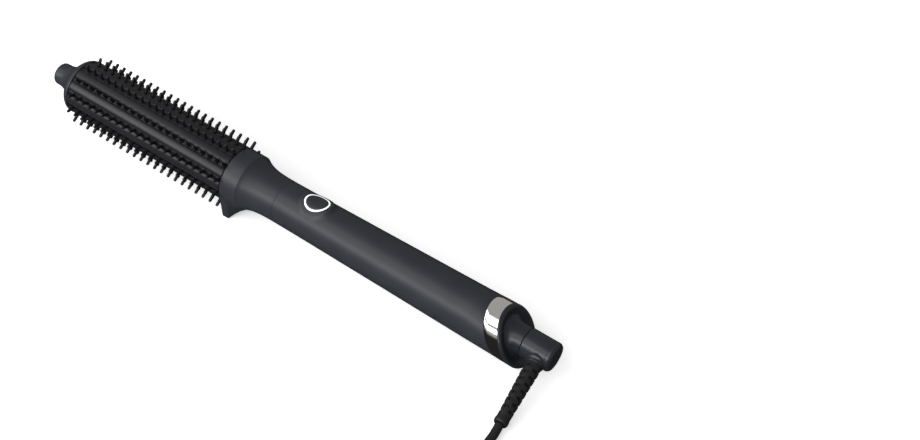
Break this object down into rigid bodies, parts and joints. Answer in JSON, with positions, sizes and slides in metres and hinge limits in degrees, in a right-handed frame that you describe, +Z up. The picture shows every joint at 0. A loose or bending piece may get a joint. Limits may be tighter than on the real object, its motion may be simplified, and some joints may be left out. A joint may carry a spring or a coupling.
{
  "type": "heated round styling brush",
  "caption": "Heated round hair styling brush with radial bristle rows, a cool tip, a lit power button, a bright handle band and a swivelling mains cord with plug.",
  "frame": {"origin": "on the table under the middle of the brush's length, at the level it rests on", "axes": "+X along the brush from the cool tip to the cord swivel, +Z up with the power button on top, +Y to the side away from the coiled cord"},
  "size_m": [0.4479, 0.115, 0.0443],
  "materials": {
    "charcoal_plastic": "fine satin texture, dark charcoal",
    "satin_black_plastic": "satin black",
    "coated_aluminium": "black ceramic-coated, satin",
    "bristle_nylon": "glossy black moulded nylon",
    "bright_nickel": "polished warm nickel",
    "white_ceramic": "unglazed white ceramic",
    "heater_frame": "heat-proof moulded frame",
    "zinc_steel": "zinc plated",
    "plated_brass": "bright plated",
    "wire_insulation": "silicone insulation",
    "circuit_board_green": "solder mask",
    "terminal_grey": "moulded grey",
    "capacitor_sleeve": "shrink sleeve",
    "light_diffuser": "milky white light guide",
    "cord_rubber": "satin black cord sheath",
    "tie_rubber": "matt dark grey"
  },
  "bodies": {
    "brush": {"cool_tip": "charcoal_plastic", "collar": "charcoal_plastic", "handle_shell": "charcoal_plastic", "barrel_mount": "charcoal_plastic", "chassis": "charcoal_plastic", "end_cap": "satin_black_plastic", "swivel_neck": "satin_black_plastic", "barrel": "coated_aluminium", "heat_spreader_upper": "coated_aluminium", "heat_spreader_lower": "coated_aluminium", "bristle_strip_01": "bristle_nylon", "bristle_strip_02": "bristle_nylon", "bristle_strip_03": "bristle_nylon", "bristle_strip_04": "bristle_nylon", "bristle_strip_05": "bristle_nylon", "bristle_strip_06": "bristle_nylon", "bristle_strip_07": "bristle_nylon", "bristle_strip_08": "bristle_nylon", "bristle_strip_09": "bristle_nylon", "bristle_strip_10": "bristle_nylon", "bristle_strip_11": "bristle_nylon", "bristle_strip_12": "bristle_nylon", "metal_band": "bright_nickel", "heater_plate_upper": "white_ceramic", "heater_plate_lower": "white_ceramic", "temperature_sensor": "white_ceramic", "heater_carrier": "heater_frame", "board_screw_1": "zinc_steel", "board_screw_2": "zinc_steel", "button_spring": "zinc_steel", "thermal_fuse": "zinc_steel", "contact_spring_1": "plated_brass", "contact_spring_2": "plated_brass", "plug_pin_1": "plated_brass", "plug_pin_2": "plated_brass", "heater_wire_1": "wire_insulation", "heater_wire_2": "wire_insulation", "power_wire_1": "wire_insulation", "power_wire_2": "wire_insulation", "circuit_board": "circuit_board_green", "heater_terminal": "terminal_grey", "power_terminal": "terminal_grey", "tact_switch": "terminal_grey", "contact_block": "terminal_grey", "capacitor": "capacitor_sleeve", "button_ring": "light_diffuser", "ring_led": "light_diffuser", "cord_hank": "cord_rubber", "cord_lead": "cord_rubber", "cord_tail": "cord_rubber", "plug_body": "cord_rubber", "cord_tie": "tie_rubber"},
    "power_button": {"button_cap": "satin_black_plastic"},
    "cord_swivel": {"swivel_housing": "satin_black_plastic", "swivel_clip": "zinc_steel", "swivel_cap": "satin_black_plastic", "slip_ring_1": "plated_brass", "slip_ring_2": "plated_brass", "strain_relief": "cord_rubber"}
  },
  "joints": [
    {"name": "power_button_press", "type": "slide", "parent": "brush", "child": "power_button", "axis": [-0.0349, 0, -0.9994], "range_m": [0, 0.0008], "stiffness_N_per_m": 600, "springref_m": -0.001, "deforming": ["button_spring"]},
    {"name": "cord_swivel_turn", "type": "hinge", "parent": "brush", "child": "cord_swivel", "pos_m": [0.15466, 0, 0.01444], "axis": [0.9994, 0, -0.0349], "continuous": true}
  ]
}
